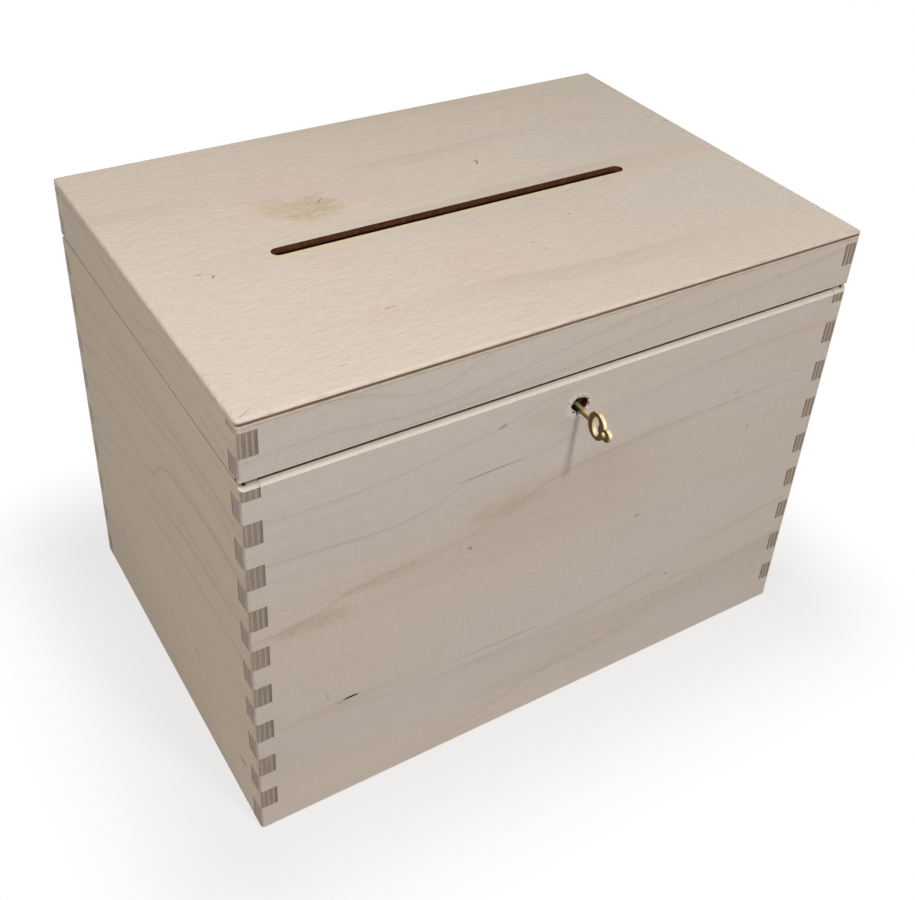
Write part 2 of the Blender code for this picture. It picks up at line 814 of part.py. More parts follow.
def key():
    # Barrel key, modelled about its own axis: local Y runs inwards, the bow is at -Y
    inner_end = lock_plate_y - running_gap - front
    junction = -shaft_stand_off
    axis = [(0, 0, 0)]
    obj = rods("key", axis, "Y", key_shaft_radius, junction - bow_lap, inner_end, sides=20)
    bit = blocks("key_bit", [(
        (-bit_thickness / 2, cap_front + cap_wall + running_gap - front, 0.0),
        (bit_thickness / 2, inner_end - pin_gap, bit_reach),
    )])
    bore_end = lock_plate_y - drill_pin_length - running_gap - front
    bore = rods("key_bore", axis, "Y", key_bore_radius, bore_end, inner_end + overcut)
    bow = key_bow(junction)
    combine(obj, bit, "UNION")
    cut(obj, bore)
    combine(obj, bow, "UNION")
    for piece in (obj, bit, bore, bow):
        piece.location = (0, front, key_height)
    return brazen(obj)


def ease_rims(obj, width):
    # Breaks the sharp edges round both faces of a flat piece
    step = obj.modifiers.new("eased_rims", "BEVEL")
    step.limit_method = "ANGLE"
    step.angle_limit = math.radians(60)
    step.width = width
    step.segments = 2


def key_bow(junction):
    # Flat bow of two lobes: a wide one with a kidney-shaped opening, a small one with an eye
    half = bow_height / 2
    middle = bow_length / 2
    tip = (-bow_length - bow_tip_reach, 0)
    eye_place = (tip[0] + bow_eye_inset, 0)
    opening_side = middle - bow_side_rim
    across = bow_thickness / 2
    through = across + overcut
    wide = prism("bow_lobe", ellipse((-middle, 0), (middle, half), 40), "X", -across, across, smooth=True)
    tip_outline = ellipse(tip, (bow_tip_radius, bow_tip_radius), 24)
    small = prism("bow_tip", tip_outline, "X", -across, across, smooth=True)
    opening = arc((-middle, 0), (opening_side, half - bow_end_rim), -145, 145, 24)
    opening += arc((-middle - opening_side, 0), (bow_bump_depth, bow_bump_height / 2), 80, -80, 8)
    kidney = prism("bow_opening", opening, "X", -through, through)
    eye_outline = ellipse(eye_place, (bow_eye_radius, bow_eye_radius), 14)
    eye = prism("bow_eye", eye_outline, "X", -through, through)
    pivot = Matrix.Translation((0, -middle, 0))
    lean = pivot @ Matrix.Rotation(bow_lean, 4, "X") @ pivot.inverted()
    for piece in (wide, kidney):
        piece.data.transform(lean)
    for lobe in (wide, small):
        ease_rims(lobe, bow_ease)
    combine(wide, small, "UNION")
    cut(wide, kidney, eye)
    droop = Matrix.Translation((0, junction, 0)) @ Matrix.Rotation(bow_droop, 4, "X")
    for piece in (wide, small, kidney, eye):
        piece.data.transform(droop)
        piece.location = (0, front, key_height)
    return wide


def clear_scene():
    for obj in list(bpy.data.objects):
        bpy.data.objects.remove(obj)


def build():
    clear_scene()
    front_wall, rear_wall, left_wall, right_wall = body_boards()
    bottom_board()
    outline = lid_outline()
    lid_walls = lid_boards(outline)
    top = lid_top_board(outline)
    lid_axis = bpy.data.objects.new("lid_axis", None)
    bpy.context.collection.objects.link(lid_axis)
    lid_axis.location = (0, hinge_y, seam_height)
    hinges(rear_wall, lid_walls[1], lid_axis)
    lock_plate()
    lock_cap()
    lock_bolt()
    bolt_spring()
    for i, place in enumerate(lock_screw_places(), start=1):
        steely(screw(f"lock_screw_{i}", lock_screw, place, (0, 1, 0))[0])
    link = link_plate()
    hang_on(lid_axis, *lid_walls, top, link)
    for i, place in enumerate(link_screw_places(), start=1):
        link_piece, groove = screw(f"link_screw_{i}", link_screw, place, (0, 0, -1))
        brazen(link_piece)
        hang_on(lid_axis, link_piece, groove)
    lock_seats(front_wall, lid_walls[0])
    key()


build()
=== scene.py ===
# Plywood envelope box with a lock: camera, finishes, torn veneer, floor and lamps
import math

import bpy
import numpy as np
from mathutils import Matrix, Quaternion, Vector


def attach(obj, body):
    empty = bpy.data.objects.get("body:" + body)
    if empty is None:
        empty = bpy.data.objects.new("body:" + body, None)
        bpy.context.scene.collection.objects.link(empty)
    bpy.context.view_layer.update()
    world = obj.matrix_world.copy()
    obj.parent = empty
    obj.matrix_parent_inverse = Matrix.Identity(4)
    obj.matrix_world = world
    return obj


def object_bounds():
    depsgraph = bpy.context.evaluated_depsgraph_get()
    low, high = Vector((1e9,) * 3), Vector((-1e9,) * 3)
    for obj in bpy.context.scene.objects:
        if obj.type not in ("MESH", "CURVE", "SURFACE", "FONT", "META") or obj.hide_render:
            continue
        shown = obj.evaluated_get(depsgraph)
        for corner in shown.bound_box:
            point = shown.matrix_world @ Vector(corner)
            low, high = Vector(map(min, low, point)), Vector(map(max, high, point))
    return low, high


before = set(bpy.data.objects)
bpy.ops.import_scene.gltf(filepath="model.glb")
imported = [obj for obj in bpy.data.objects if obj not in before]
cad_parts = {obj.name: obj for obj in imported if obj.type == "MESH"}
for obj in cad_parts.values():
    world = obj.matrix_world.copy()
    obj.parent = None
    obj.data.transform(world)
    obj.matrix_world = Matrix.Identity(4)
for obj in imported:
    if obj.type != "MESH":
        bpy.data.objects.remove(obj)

cadLow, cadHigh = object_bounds()
scene = bpy.context.scene
scene.view_settings.view_transform = "Standard"
print("frame loaded:", len(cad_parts), "nodes")

mm = 0.001
decimals = 6  # lengths from the frame are rounded to a thousandth of a millimetre

# The case stands round the origin; only the key reaches out of it, to the front
halfWidth, halfDepth, lidTop = (round(value, decimals) for value in cadHigh)
caseLow = (-halfWidth, -halfDepth, 0.0)
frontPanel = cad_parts["front_panel"]
caseTop = round(max(corner[2] for corner in frontPanel.bound_box), decimals)


# A socket that takes part in sums; numbers and other sockets mix freely
class Wire:
    def __init__(self, finish, socket):
        self.finish = finish
        self.socket = socket

    def __add__(self, other):
        return self.finish.sum("ADD", self, other)

    def __radd__(self, other):
        return self.finish.sum("ADD", other, self)

    def __sub__(self, other):
        return self.finish.sum("SUBTRACT", self, other)

    def __rsub__(self, other):
        return self.finish.sum("SUBTRACT", other, self)

    def __mul__(self, other):
        return self.finish.sum("MULTIPLY", self, other)

    def __rmul__(self, other):
        return self.finish.sum("MULTIPLY", other, self)

    def __truediv__(self, other):
        return self.finish.sum("DIVIDE", self, other)

    def __rtruediv__(self, other):
        return self.finish.sum("DIVIDE", other, self)

    def __neg__(self):
        return self.finish.sum("MULTIPLY", self, -1.0)

    def __abs__(self):
        return self.finish.sum("ABSOLUTE", self)


# The nodes of one material, or of the tree that is given
class Finish:
    def __init__(self, name="", tree=None):
        if tree is None:
            self.material = bpy.data.materials.new(name)
            self.material.use_nodes = True
            tree = self.material.node_tree
        self.tree = tree
        tree.nodes.clear()

    # kind is the node's type; its settings are set first, then its sockets get values or links
    def add(self, kind, settings=None, sockets=None):
        node = self.tree.nodes.new("ShaderNode" + kind)
        for name, value in (settings or {}).items():
            if name == "points":
                self.shapeCurve(node, value)
            else:
                setattr(node, name, value)
        for name, value in (sockets or {}).items():
            if isinstance(value, Wire):
                self.tree.links.new(value.socket, node.inputs[name])
            else:
                node.inputs[name].default_value = value
        return node

    # A curve starts with two points, so only the others are new; it runs on level past its ends
    def shapeCurve(self, node, places):
        curve = node.mapping.curves[0]
        for _ in places[2:]:
            curve.points.new(0.5, 0.5)
        for point, place in zip(curve.points, places):
            point.location = place
        node.mapping.extend = "HORIZONTAL"
        node.mapping.update()

    def wire(self, node, output=0):
        return Wire(self, node.outputs[output])

    def sum(self, operation, *values):
        return self.wire(self.add("Math", {"operation": operation}, dict(enumerate(values))))

    def least(self, a, b):
        return self.sum("MINIMUM", a, b)

    def most(self, a, b):
        return self.sum("MAXIMUM", a, b)

    # How far a point lies from the middle, from its distance each way
    def distance(self, a, b):
        return self.sum("SQRT", a * a + b * b)

    # 0 below low, 1 above high, an S between them
    def rise(self, value, low, high):
        node = self.add(
            "MapRange", {"interpolation_type": "SMOOTHSTEP"},
            {"Value": value, "From Min": low, "From Max": high},
        )
        return self.wire(node)

    # 1 below low, 0 above high, an S between them
    def fall(self, value, low, high):
        return 1 - self.rise(value, low, high)

    # 1 at a distance of 0, and 1/e at the width
    def bell(self, distance, width):
        share = distance / width
        return self.sum("EXPONENT", -(share * share))

    # A colour is three numbers or a wire
    def blend(self, factor, a, b):
        a, b = (colour if isinstance(colour, Wire) else (*colour, 1.0) for colour in (a, b))
        return self.wire(self.add("Mix", {"data_type": "RGBA"}, {0: factor, 6: a, 7: b}), 2)

    def scaled(self, colour, factor):
        node = self.add("VectorMath", {"operation": "SCALE"}, {0: colour, "Scale": factor})
        return self.wire(node)

    # The object's own coordinates, and its own normal, as three wires each
    def places(self):
        return self.split("Object")

    def facings(self):
        return self.split("Normal")

    def split(self, output):
        parts = self.add("SeparateXYZ", None, {0: self.wire(self.add("TexCoord"), output)})
        return [self.wire(parts, i) for i in range(3)]

    # Noise with its own scale in each direction, in waves per metre
    def noise(self, spots, waves, seed=0.0, detail=2.0, roughness=0.5):
        a, b, c = (spot * scale for spot, scale in zip(spots, waves))
        point = self.add("CombineXYZ", None, {0: a + seed, 1: b + seed * 0.37, 2: c - seed * 0.61})
        node = self.add("TexNoise", None, {
            "Vector": self.wire(point), "Scale": 1.0, "Detail": detail, "Roughness": roughness,
        })
        return self.wire(node)

    def bump(self, height, distance):
        node = self.add("Bump", None, {"Height": height, "Strength": 1.0, "Distance": distance})
        return self.wire(node)

    def complete(self, sockets):
        shader = self.add("BsdfPrincipled", None, sockets)
        self.add("OutputMaterial", None, {"Surface": self.wire(shader)})
        return self.material


def dress(name, material):
    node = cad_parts[name]
    node.data.materials.clear()
    node.data.materials.append(material)


# The camera was fitted to the box's edges in the picture
cameraSetup = {
    "place": (-0.30457, -0.46813, 0.54362),
    "turn": (0.857563, 0.437965, -0.142626, -0.228975),
    "sensor": 36.0,
    "lens": 48.3214,
    "shift": (0.014085, -0.083675),
}


def setCamera(look):
    data = bpy.data.cameras.new("camera")
    data.sensor_width = look["sensor"]
    data.lens = look["lens"]
    data.shift_x, data.shift_y = look["shift"]
    camera = bpy.data.objects.new("camera", data)
    camera.location = look["place"]
    camera.rotation_mode = "QUATERNION"
    camera.rotation_quaternion = Quaternion(look["turn"])
    scene.collection.objects.link(camera)
    scene.camera = camera


setCamera(cameraSetup)
print("camera set")

# The saw cut between case and lid. Each pair is where a zone's edge begins and ends, measured up
# and down from the cut's middle or, for the lip, inwards from the outer face
seam = {
    "height": caseTop + 0.25 * mm,
    "cut": (1.8 * mm, 2.4 * mm),
    "lip": (1.9 * mm, 2.5 * mm),
    "lipEnd": (3.2 * mm, 4.2 * mm),
    "chamferTop": (2.0 * mm, 2.8 * mm),
    "chamferFoot": (4.4 * mm, 4.8 * mm),
    # how much the chamfer is paled, as painted light
    "chamferPaleAndLight": 0.82,
}

# Birch plywood: colours are linear, and waves are per metre along the grain, across and through
birch = {
    "axes": (0, 1, 2),  # the coordinates along the faces' grain, across it and through the board
    "outer": 0.0,  # where the outer face lies on the third of them
    "thickness": 9 * mm,
    "plies": 7,
    "tone": (1.0, 1.0, 1.0),
    "cool": (0.795, 0.707, 0.612),
    "warm": (0.81, 0.70, 0.572),
    "patchWaves": (4, 15, 9),  # from cool to warm
    "broadWaves": (3.5, 9, 9),
    "streakWaves": (6, 150, 90),
    "fibreWaves": (18, 800, 300),
    "napWaves": (620, 900, 900),
    "poreWaves": (170, 2400, 900),
    "rings": 26.0,  # growth rings in a metre of width
    "swing": 2.6,  # how many rings they wander
    "swingWaves": (2.6, 7, 3),
    "ringStrength": 0.2,
    "ringFadeWaves": (5, 16, 5),
    "growthLine": (0.52, 0.40, 0.31),
    "streaks": 0.08,
    "nap": 0.09,
    "pore": (0.42, 0.315, 0.24),
    "poreStrength": 0.3,
    "plyWaves": (9, 9, 40),
    "endGrain": (0.405, 0.325, 0.27),
    "endShare": 1.0,  # how much of it shows on the faces' plies
    "edgeGrain": (0.50, 0.415, 0.35),
    "glueLine": (0.22, 0.155, 0.115),
    "glueStrength": 0.6,
    "joint": 0.45,  # the glue line where a finger's end meets the other wall
    "mark": (0.055, 0.026, 0.012),
    # painted shade in the gap between case and lid, dark brown
    "seamShade": (0.05, 0.018, 0.008),
    # how much painted shade falls on the upward bevels at the seam
    "chamferShade": 0.0,
    # pale cut wood at the seam, with painted light on the rim and chamfer
    "rimWoodAndLight": (0.96, 0.87, 0.75),
    "rimPaleAndLight": 0.85,
    "roughness": 0.5,
    "shine": 0.15,
    "fibreDepth": 0.05 * mm,
    "ripple": 0.0,  # broad relief, in fibre depths
    "rippleWaves": (130, 250, 250),
    "lines": [],
    "lineStrength": (0.34, 0.12),  # a drawn growth line's core, and the shade below it
    "marks": [],
    "stains": [],
    "over": None,  # what else is painted over the finished colour
}

# A curve's values run from 0 to 1 only, so the height of a growth line is a share of this span
curveFoot, curveSpan = -20 * mm, 300 * mm


# A board's shade: along is its faces' grain, across lies in the face, through is its thickness
class Board:
    def __init__(self, look):
        f = self.f = Finish(look["name"])
        self.look = look
        self.place, self.facing = f.places(), f.facings()
        self.triple = [self.place[i] for i in look["axes"]]
        self.along, self.across, self.through = self.triple
        self.lengthFrom, self.widthFrom = (caseLow[i] for i in look["axes"][:2])
        self.findFaces()
        self.findSeam()
        self.layPlies()
        self.growVeneer()
        self.drawLines()
        self.addMarks()
        for colour, seed, patches in look["stains"]:
            for patch in patches:
                self.addStain(colour, seed, *patch)

    # How far the surface faces along the grain, across it and through the board, and how deep it
    # lies under the outer face; cut is where the plies show
    def findFaces(self):
        f = self.f
        self.ends, self.edges, self.flat = (abs(self.facing[i]) for i in self.look["axes"])
        self.faces = f.rise(self.flat, 0.75, 0.95)
        self.cut = 1 - self.faces
        self.edge = f.fall(self.flat, 0.3, 0.6)
        self.deep = abs(self.through - self.look["outer"])
        self.outside = self.faces * f.fall(self.deep, 0.8 * mm, 1.4 * mm)

    # Within the cut's height, painted shade darkens what faces down or lies a little inwards, and
    # on some boards what faces up, for the shade in the gap under the lid;
    # the rest is pale cut wood with painted light, and so is the chamfer of the case's front rim
    def findSeam(self):
        f, up = self.f, self.facing[2]
        away = abs(self.place[2] - seam["height"])
        atSeam = f.fall(away, *seam["cut"]) * self.cut
        bevel = f.rise(self.flat, 0.4, 0.6)
        beneath = f.rise(-up, 0.4, 0.6) * bevel
        above = f.rise(up, 0.4, 0.6) * bevel * self.look["chamferShade"]
        lip = f.rise(self.deep, *seam["lip"]) * f.fall(self.deep, *seam["lipEnd"])
        self.shadedSeam = f.most(beneath + above, lip) * atSeam
        # Painted light: the front rim's chamfer is painted paler, fully on its lower part, which
        # catches the light, and half as much next to the seam, in the lid's shade
        slope = f.rise(up, 0.3, 0.5) * f.rise(abs(self.facing[1]), 0.3, 0.5)
        chamferLight = f.rise(away, *seam["chamferTop"]) * 0.5 + 0.5
        chamfer = f.fall(away, *seam["chamferFoot"]) * chamferLight
        self.rim = f.most(atSeam * self.look["rimPaleAndLight"], slope * chamfer * seam["chamferPaleAndLight"])

    # Every second ply has its grain turned, so it shows its end where the others don't
    def layPlies(self):
        f, look = self.f, self.look
        plies, thickness = look["plies"], look["thickness"]
        wander = f.noise(self.triple, look["plyWaves"], look["seed"] + 5, 1.0) * 0.16 - 0.08
        level = self.deep / (thickness / plies) + wander
        level = f.least(f.most(level, 0.15), plies - 0.15)
        turned = f.rise(f.sum("PINGPONG", level + 1.5, 1.0), 0.44, 0.56)
        endOn = self.ends * (1 - turned) * look["endShare"] + self.edges * turned
        self.endOn = f.rise(endOn, 0.3, 0.95)
        self.glue = f.fall(f.sum("PINGPONG", level, 0.5), 0.03, 0.13) * self.cut
        self.joint = f.rise(self.deep, thickness - 1.0 * mm, thickness - 0.5 * mm) * self.cut

    # Veneer: broad tone, growth rings, fibres, nap and short pores
    def growVeneer(self):
        f, look, triple, seed = self.f, self.look, self.triple, self.look["seed"]
        cool, warm = (
            tuple(a * b for a, b in zip(look[name], look["tone"])) for name in ("cool", "warm")
        )
        patch = f.rise(f.noise(triple, look["patchWaves"], seed + 41), 0.35, 0.65)
        self.veneer = f.blend(patch, cool, warm)
        broad = f.noise(triple, look["broadWaves"], seed)
        wander = f.noise(triple, look["swingWaves"], seed + 11, 1.5) * look["swing"]
        ring = f.sum("FRACT", self.across * look["rings"] + wander)
        fade = f.rise(f.noise(triple, look["ringFadeWaves"], seed + 17, 1.0), 0.4, 0.62)
        self.drawn = f.rise(ring, 0.6, 0.97) * f.fall(ring, 0.97, 1.0) * fade * look["ringStrength"]
        self.fibre = f.noise(triple, look["fibreWaves"], seed + 23, 3.0, 0.6)
        streak = f.noise(triple, look["streakWaves"], seed + 29)
        self.nap = f.noise(triple, look["napWaves"], seed + 37)
        self.pore = f.rise(f.noise(triple, look["poreWaves"], seed + 31, 1.0), 0.66, 0.76)
        fine = (self.fibre - 0.5) * look["streaks"] + (streak - 0.5) * look["streaks"]
        self.tone = 1.0 + (broad - 0.5) * 0.08 + fine + (self.nap - 0.5) * (2 * look["nap"])

    # Growth lines through given points: a thin core over a soft shade that ends at it
    def drawLines(self):
        if not self.look["lines"]:
            return
        f = self.f
        thin, soft = self.look["lineStrength"]
        length = -2 * self.lengthFrom  # the case reaches as far to either side
        share = (self.along - self.lengthFrom) / length
        wobble = (f.noise(self.triple, (28, 80, 28), 3.7) - 0.5) * (1.8 * mm)
        strength = f.noise(self.triple, (14, 14, 14), 9.1, 1.0) * 1.2 - 0.1
        for points in self.look["lines"]:
            points = [(a * mm / length, (b * mm - curveFoot) / curveSpan) for a, b in points]
            curve = f.add("FloatCurve", {"points": points}, {1: share})
            away = self.across - (f.wire(curve) * curveSpan + curveFoot) + wobble
            core = f.bell(away, 0.6 * mm) * thin
            shade = f.rise(away, -5 * mm, 0.0) * f.fall(away, 0.0, 1.2 * mm) * soft
            self.drawn = self.drawn + (core + shade) * strength

    # Small dark marks with ragged outlines
    def addMarks(self):
        f = self.f
        self.dark = 0.0
        if not self.look["marks"]:
            return
        ragged = f.noise(self.triple, (900, 900, 900), 5.3, 1.0) * 0.9 + 0.55
        for a, b, length, width, turn, darkness in self.look["marks"]:
            du = (self.along - (self.lengthFrom + a * mm)) / mm
            dv = (self.across - (self.widthFrom + b * mm)) / mm
            c, s = math.cos(math.radians(turn)), math.sin(math.radians(turn))
            p = (du * c + dv * s) / length
            q = (dv * c - du * s) / width
            self.dark = self.dark + f.fall((p * p + q * q) * ragged, 0.35, 1.3) * darkness

    # A soft patch of another colour, placed and sized in millimetres
    def addStain(self, colour, seed, a, b, halfLong, halfWide, strength):
        f = self.f
        cloud = f.noise(self.triple, (90, 90, 90), seed, 3.0) * 1.5 + 0.2
        mottle = f.rise(f.noise(self.triple, (200, 330, 300), seed + 2.0, 3.0), 0.3, 0.7)
        p = (self.along - (self.lengthFrom + a * mm)) / (halfLong * mm)
        q = (self.across - (self.widthFrom + b * mm)) / (halfWide * mm)
        patch = f.fall((p * p + q * q) * cloud, 0.15, 1.3) * (mottle * 0.8 + 0.4)
        self.veneer = f.blend(patch * strength * self.outside, self.veneer, colour)

    def complete(self):
        f, look = self.f, self.look
        drawn = f.least(self.drawn * self.faces, 0.9)
        colour = f.blend(drawn, self.veneer, look["growthLine"])
        colour = f.blend(self.pore * look["poreStrength"], colour, look["pore"])
        colour = f.blend(self.edge, colour, look["edgeGrain"])
        block = f.noise(self.triple, (25, 25, 70), 15.1, 1.0) * 0.6 + 0.7
        colour = f.blend(self.endOn, colour, f.scaled(look["endGrain"], block))
        splits = f.rise(f.noise(self.triple, (90, 90, 1500), 12.3, 1.0), 0.5, 0.7) * self.cut
        glued = self.glue * look["glueStrength"] + splits * 0.25 + self.joint * look["joint"]
        colour = f.blend(f.least(glued, 0.9), colour, look["glueLine"])
        colour = f.scaled(f.blend(self.rim, colour, look["rimWoodAndLight"]), self.tone)
        colour = f.blend(f.least(self.dark * self.outside, 0.97), colour, look["mark"])
        # painted shade in the gap under the lid
        colour = f.blend(self.shadedSeam, colour, look["seamShade"])
        if look["over"]:
            colour = look["over"](self, colour)
        fibrous = (self.fibre - 0.5) * 0.12
        height = self.fibre + self.nap - self.pore * 0.8 - self.glue * 0.8
        if look["ripple"]:
            ripple = f.noise(self.triple, look["rippleWaves"], 19.4, 4.0, 0.62)
            height = height + ripple * look["ripple"]
        return f.complete({
            "Base Color": colour,
            "Roughness": look["roughness"] + fibrous + self.endOn * 0.2 + self.shadedSeam * 0.4,
            "Normal": f.bump(height, look["fibreDepth"]),
            "Specular IOR Level": look["shine"],
        })


# Where the key goes in: a bored hole whose rim is chipped, browned and whitened by torn fibres; its
# wall is painted dark as shade.
# Each chip is (mm right, mm up, half width, half height)
keyhole = {
    "height": caseTop - 18 * mm,
    "radius": 4.75 * mm,
    "holeDark": (0.068, 0.027, 0.014),
    "torn": (0.96, 0.92, 0.88),
    "tornReach": 2.0 * mm,
    "tornSide": (-0.8, -0.6),  # the direction, right and up, in which the fibres are torn most
    "tornMore": 3.6 * mm,  # how much further they are torn there
    "tornFade": 5 * mm,  # from the hole's middle to where that is full, and to where it is none
    "crack": (0.30, 0.21, 0.15),
    "rayRadius": 6 * mm,  # where the rays' width round the hole is measured
    "chips": [
        (-3.1, -3.2, 1.0, 1.15), (-0.9, -5.5, 0.8, 0.65), (0.7, 4.7, 0.75, 0.3),
        (5.2, -1.1, 0.5, 0.75), (4.9, 1.5, 0.3, 0.8), (-4.9, 0.1, 0.45, 0.9),
        (-4.2, 2.4, 0.5, 0.4), (5.3, -2.6, 0.3, 0.5),
    ],
}


def keyholeRim(board, colour):
    f = board.f
    x, y, z = board.place
    up = z - keyhole["height"]
    away = f.distance(x, up) - keyhole["radius"]
    right, top = keyhole["tornSide"]
    sideways = f.rise(x * right + up * top, -keyhole["tornFade"], keyhole["tornFade"])
    around = f.sum("ARCTAN2", up, x) * keyhole["rayRadius"]
    rays = f.noise((around, away * 0.25, y), (900, 900, 100), 2.1)
    farthest = keyhole["tornReach"] + sideways * keyhole["tornMore"]
    reach = f.fall(away, 0.5 * mm, farthest) * f.rise(away, 0.0, 0.4 * mm) * board.outside
    colour = f.blend(f.rise(rays, 0.38, 0.50) * reach * 0.95, colour, keyhole["torn"])
    colour = f.blend(f.rise(1 - rays, 0.56, 0.64) * reach * 0.35, colour, keyhole["crack"])
    ragged = f.noise((x, y, z), (1300, 600, 1300), 7.7, 1.0) * 1.4 + 0.3
    # painted shade: the hole's wall and a thin ring at its edge are painted dark brown; the chips
    # are darkened too
    dark = f.fall(away, 0.02 * mm, 0.2 * mm)
    for a, b, halfWide, halfHigh in keyhole["chips"]:
        p = (x - a * mm) / (halfWide * mm)
        q = (up - b * mm) / (halfHigh * mm)
        dark = dark + f.fall((p * p + q * q) * ragged, 0.55, 1.2) * board.outside
    return f.blend(f.least(dark, 1.0), colour, keyhole["holeDark"])


# The envelope slot: its walls are burnt brown by the cutter, with a yellow scorch along its front
slot = {
    "middle": 111.8 * mm - halfDepth,
    "half": 99.9 * mm,  # from the middle to where the round ends begin
    "radius": 3.6 * mm,
    "burnt": (0.165, 0.056, 0.029),
    "darkBelow": (2.7 * mm, 3.4 * mm),  # how far below the face the walls turn black
    "scorch": (0.86, 0.71, 0.46),
    "scorchReach": 5.0 * mm,
    "frontRim": (0.55, 0.38, 0.22),
    "rearRim": (0.86, 0.80, 0.73),
}


def slotRim(board, colour):
    f = board.f
    x, y, z = board.place
    aside = y - slot["middle"]
    away = f.distance(f.most(abs(x) - slot["half"], 0.0), aside) - slot["radius"]
    frontward = f.fall(aside, -3 * mm, 3 * mm)
    cloud = f.rise(f.noise((x, y, z), (45, 220, 220), 4.4, 3.0), 0.35, 0.65) * 0.45 + 0.55
    halo = f.fall(away, 0.0, slot["scorchReach"]) * cloud * frontward * board.outside
    colour = f.blend(halo * 0.95, colour, slot["scorch"])
    edge = f.fall(away, 0.1 * mm, 0.5 * mm) * board.faces
    colour = f.blend(edge * (1 - frontward) * 0.5, colour, slot["rearRim"])
    colour = f.blend(edge * frontward * 0.25, colour, slot["frontRim"])
    streaks = f.noise((x, y, z), (420, 200, 60), 8.1) * 1.1 + 0.45
    streaks = streaks * (1 - f.rise(lidTop - z, *slot["darkBelow"]) * 0.85)
    wall = board.cut * f.fall(away, 0.3 * mm, 0.6 * mm)
    return f.blend(wall, colour, f.scaled(slot["burnt"], streaks))


# Growth lines that the picture shows, as (mm along the board, mm above the floor)
frontLines = [
    [(0, 201), (67, 200), (102, 204), (127, 208), (152, 215), (180, 218), (340, 222)],
    [(0, 176), (37, 174), (75, 172), (97, 177), (110, 182.5), (150, 185), (180, 192),
     (242, 202), (340, 204)],
    [(0, 133), (25, 134), (52, 142), (102, 146), (127, 151), (147, 161), (167, 166),
     (187, 169), (340, 171)],
    [(0, 69), (42, 65), (80, 59), (142, 57), (192, 59), (230, 64), (255, 69), (305, 79),
     (340, 83)],
    [(0, -8), (100, 4), (142, 18), (167, 25), (217, 30), (234, 33), (247, 50), (257, 54),
     (280, 51), (340, 56)],
]
lidFrontLines = [
    [(0, 234), (37, 236), (57, 234), (80, 232), (105, 233), (132, 237), (150, 240), (340, 262)],
    [(0, 255), (57, 249), (75, 243), (87, 241), (100, 243), (112, 249), (340, 270)],
    [(0, 222), (120, 228), (152, 229), (180, 233), (205, 236), (257, 241), (305, 245),
     (340, 249)],
]
leftLines = [
    [(0, 183), (22, 188), (47, 191), (72, 191), (97, 187), (130, 181), (155, 178), (180, 171),
     (232, 161)],
    [(0, 167), (30, 170), (60, 169), (90, 165), (105, 158), (115, 147), (132, 142), (155, 147),
     (232, 138)],
    [(0, 138), (40, 137), (90, 133), (140, 127), (190, 118), (232, 108)],
    [(0, 114), (60, 116), (110, 112), (150, 108), (232, 96)],
    [(0, 196), (60, 199), (130, 189), (170, 185), (232, 176)],
]
lidLeftLines = [
    [(0, 241), (40, 244), (85, 247), (100, 241), (120, 238), (140, 244), (232, 250)],
    [(0, 229), (30, 233), (60, 235), (80, 232), (100, 228), (232, 222)],
]

# Small marks: (mm along, mm across, half length, half width, turn in degrees, darkness)
frontMarks = [
    (50, 70.5, 4.6, 0.75, 0, 1.0), (36.4, 79.6, 0.5, 0.4, 0, 0.6),
    (37.3, 77.8, 0.45, 0.5, 12, 0.6), (38.6, 78.2, 0.4, 0.35, 0, 0.4),
    (37.8, 75.6, 0.6, 0.45, 20, 0.6), (44.5, 69.6, 3.0, 0.4, 8, 0.35),
    (122, 184, 20, 0.5, 2, 0.3), (137, 63, 30, 0.8, -1, 0.16), (127, 208, 2.6, 1.1, 15, 0.3),
    (114, 139.5, 1.1, 1.3, 40, 0.4), (249, 59.5, 1.1, 0.6, -10, 0.55),
    (219, 116, 1.8, 0.9, 0, 0.3), (288, 150, 0.7, 1.3, -20, 0.35), (274, 177, 2.0, 0.6, 0, 0.25),
]
leftMarks = [
    (19.4, 31.3, 4.4, 0.6, 0, 0.95), (191, 46, 5, 1.4, 15, 0.3), (75, 57, 3.5, 1.8, 10, 0.25),
]
topMarks = [
    (206, 152, 0.8, 2.6, -25, 0.55), (206.5, 154.5, 1.6, 0.6, 0, 0.5),
    (34.5, 104, 1.6, 0.5, 45, 0.7), (29, 108.5, 2.5, 0.35, 0, 0.4), (93, 45, 3.6, 0.3, 4, 0.5),
    (216, 81, 1.6, 0.4, 0, 0.45), (183, 65, 1.2, 0.5, 0, 0.4), (336, 151, 1.2, 0.8, 0, 0.4),
    (54, 15, 2.6, 0.3, 6, 0.4), (110, 149, 3.5, 0.35, 42, 0.6), (104, 141, 2.6, 0.3, 30, 0.4),
    (6, 4, 4.6, 0.3, 32, 0.35),
]

# Stains: a colour, a seed and patches of (mm along, mm across, half length, half width, strength)
frontStains = [((0.66, 0.52, 0.39), 3.3, [
    (132, 158, 24, 6, 0.5), (32, 131, 22, 5, 0.6), (68, 142, 26, 4, 0.45),
    (60, 68, 46, 4, 0.2), (180, 30, 60, 9, 0.25), (150, 205, 12, 5, 0.3),
])]
leftStains = [((0.83, 0.63, 0.50), 7.9, [
    (150, 205, 60, 7, 0.6), (60, 205, 40, 6, 0.45), (120, 120, 30, 12, 0.4),
])]
topStains = [
    ((0.82, 0.64, 0.55), 6.2, [
        (292, 182, 12, 12, 0.4), (234, 202, 9, 9, 0.4), (187, 215, 9, 9, 0.4),
        (90, 96, 14, 14, 0.5), (152, 60, 24, 24, 0.5), (88, 40, 10, 10, 0.5),
        (96, 158, 30, 30, 0.7), (140, 146, 16, 16, 0.6),
    ]),
    ((0.64, 0.53, 0.33), 1.9, [(104, 144, 16, 13, 0.8), (86, 151, 9, 12, 0.5)]),
]

